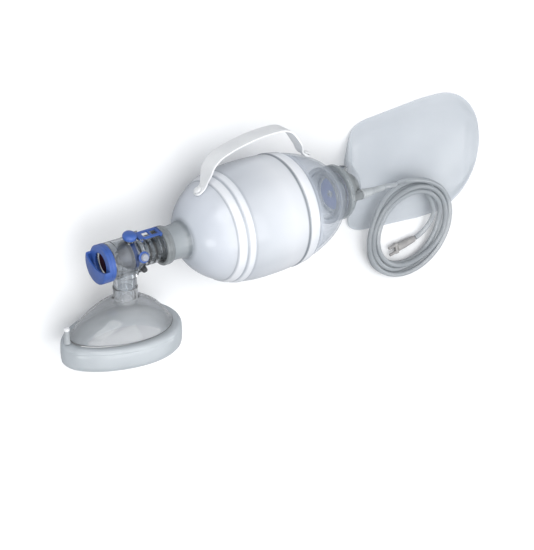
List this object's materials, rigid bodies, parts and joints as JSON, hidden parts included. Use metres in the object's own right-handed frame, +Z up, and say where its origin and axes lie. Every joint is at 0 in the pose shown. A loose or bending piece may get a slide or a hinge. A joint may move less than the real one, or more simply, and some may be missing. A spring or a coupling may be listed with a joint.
{
  "type": "bag valve mask",
  "caption": "Hand-squeezed resuscitator: ribbed silicone bag with strap, swivelling patient valve and face mask, intake valve, flat gas reservoir and coiled oxygen tube.",
  "frame": {"origin": "on the table, under the middle of the box round everything but the free oxygen tube", "axes": "+X along the bag from the patient valve to the reservoir, +Z up from the table, -Y the side that the mask lies on"},
  "size_m": [0.65, 0.2582, 0.131],
  "materials": {
    "clear_plastic": "clear moulded polycarbonate",
    "grey_plastic": "smoky translucent moulding",
    "blue_plastic": "blue moulded plastic, satin",
    "blue_silicone": "blue silicone disc",
    "maroon_silicone": "dark red silicone",
    "silicone": "translucent silicone",
    "white_silicone": "milky silicone",
    "soft_vinyl": "soft translucent vinyl",
    "film": "thin welded film",
    "tube_vinyl": "clear flexible tube",
    "dark_rubber": "dark rubber",
    "steel": "spring wire"
  },
  "bodies": {
    "bag": {"strap_stud_front": "white_silicone", "strap_stud_rear": "white_silicone", "reservoir_valve_housing": "grey_plastic", "oxygen_nipple": "clear_plastic", "tube_cone": "tube_vinyl", "neck_connector": "clear_plastic", "neck_lock_ring": "grey_plastic", "bag_shell": "silicone", "intake_housing": "clear_plastic", "intake_pin": "clear_plastic", "rear_lock_ring": "grey_plastic", "reservoir_collar": "grey_plastic", "reservoir_bag": "film", "tube_coil": "tube_vinyl", "oxygen_tube": "tube_vinyl", "tube_tail": "tube_vinyl", "supply_connector": "grey_plastic"},
    "patient_valve": {"valve_body": "clear_plastic", "valve_seat": "blue_plastic", "inlet_housing": "clear_plastic", "swivel_seal_front": "dark_rubber", "swivel_seal_rear": "dark_rubber", "sample_port_strap": "blue_plastic", "relief_spring": "steel"},
    "mask": {"mask_dome": "clear_plastic", "mask_cushion": "soft_vinyl", "inflation_valve": "clear_plastic"},
    "inflation_plug": {"inflation_plug": "white_silicone"},
    "exhaust_deflector": {"exhaust_deflector": "blue_plastic"},
    "exhaust_membrane": {"exhaust_membrane": "maroon_silicone"},
    "lip_valve": {"lip_valve": "silicone"},
    "relief_valve": {"relief_disc": "dark_rubber", "relief_knob": "blue_plastic"},
    "relief_lever": {"relief_lever": "blue_plastic"},
    "sample_port_cap": {"sample_port_cap": "white_silicone"},
    "pressure_port_cap": {"pressure_port_cap": "dark_rubber"},
    "handle_strap": {"handle_strap": "white_silicone"},
    "intake_disc": {"intake_disc": "blue_silicone"},
    "air_inlet_disc": {"air_inlet_disc": "blue_silicone"},
    "overflow_disc": {"overflow_disc": "blue_silicone"}
  },
  "joints": [
    {"name": "valve_swivel", "type": "hinge", "parent": "bag", "child": "patient_valve", "pos_m": [-0.21998, 0.00704, 0.06552], "axis": [1, 0, 0], "continuous": true},
    {"name": "mask_swivel", "type": "hinge", "parent": "patient_valve", "child": "mask", "pos_m": [-0.24798, -0.03238, 0.05871], "axis": [0, 0.9854, 0.1702], "continuous": true},
    {"name": "deflector_turn", "type": "hinge", "parent": "patient_valve", "child": "exhaust_deflector", "pos_m": [-0.27198, 0.00704, 0.06552], "axis": [1, 0, 0], "continuous": true},
    {"name": "exhaust_lift", "type": "slide", "parent": "patient_valve", "child": "exhaust_membrane", "axis": [-1, 0, 0], "range_m": [0, 0.0012], "stiffness_N_per_m": 60},
    {"name": "lip_lift", "type": "slide", "parent": "patient_valve", "child": "lip_valve", "axis": [-1, 0, 0], "range_m": [0, 0.0012], "stiffness_N_per_m": 100},
    {"name": "relief_lift", "type": "slide", "parent": "patient_valve", "child": "relief_valve", "axis": [0, 0.915, 0.4035], "range_m": [0, 0.0012], "stiffness_N_per_m": 400, "deforming": ["relief_spring"]},
    {"name": "lever_tilt", "type": "hinge", "parent": "patient_valve", "child": "relief_lever", "pos_m": [-0.23338, 0.0268, 0.07423], "axis": [0, 0.4035, -0.915], "range_deg": [-25, 3]},
    {"name": "sample_cap_pull", "type": "slide", "parent": "patient_valve", "child": "sample_port_cap", "axis": [0, 0.0732, 0.9973], "range_m": [0, 0.004]},
    {"name": "pressure_cap_pull", "type": "slide", "parent": "patient_valve", "child": "pressure_port_cap", "axis": [0, -0.5417, 0.8406], "range_m": [0, 0.004]},
    {"name": "plug_pull", "type": "slide", "parent": "mask", "child": "inflation_plug", "axis": [0, 0.9854, 0.1702], "range_m": [0, 0.0035]},
    {"name": "strap_sway", "type": "hinge", "parent": "bag", "child": "handle_strap", "pos_m": [-0.15507, 0.05642, 0.07405], "axis": [0.9987, 0.0495, 0.0085], "range_deg": [-15, 15], "stiffness_Nm_per_rad": 0.4},
    {"name": "intake_lift", "type": "slide", "parent": "bag", "child": "intake_disc", "axis": [-1, 0, 0], "range_m": [0, 0.0015], "stiffness_N_per_m": 60},
    {"name": "air_inlet_lift", "type": "slide", "parent": "bag", "child": "air_inlet_disc", "axis": [0, 0.9854, 0.1702], "range_m": [0, 0.0012], "stiffness_N_per_m": 60},
    {"name": "overflow_lift", "type": "slide", "parent": "bag", "child": "overflow_disc", "axis": [0, 0.9854, 0.1702], "range_m": [0, 0.0012], "stiffness_N_per_m": 60}
  ]
}
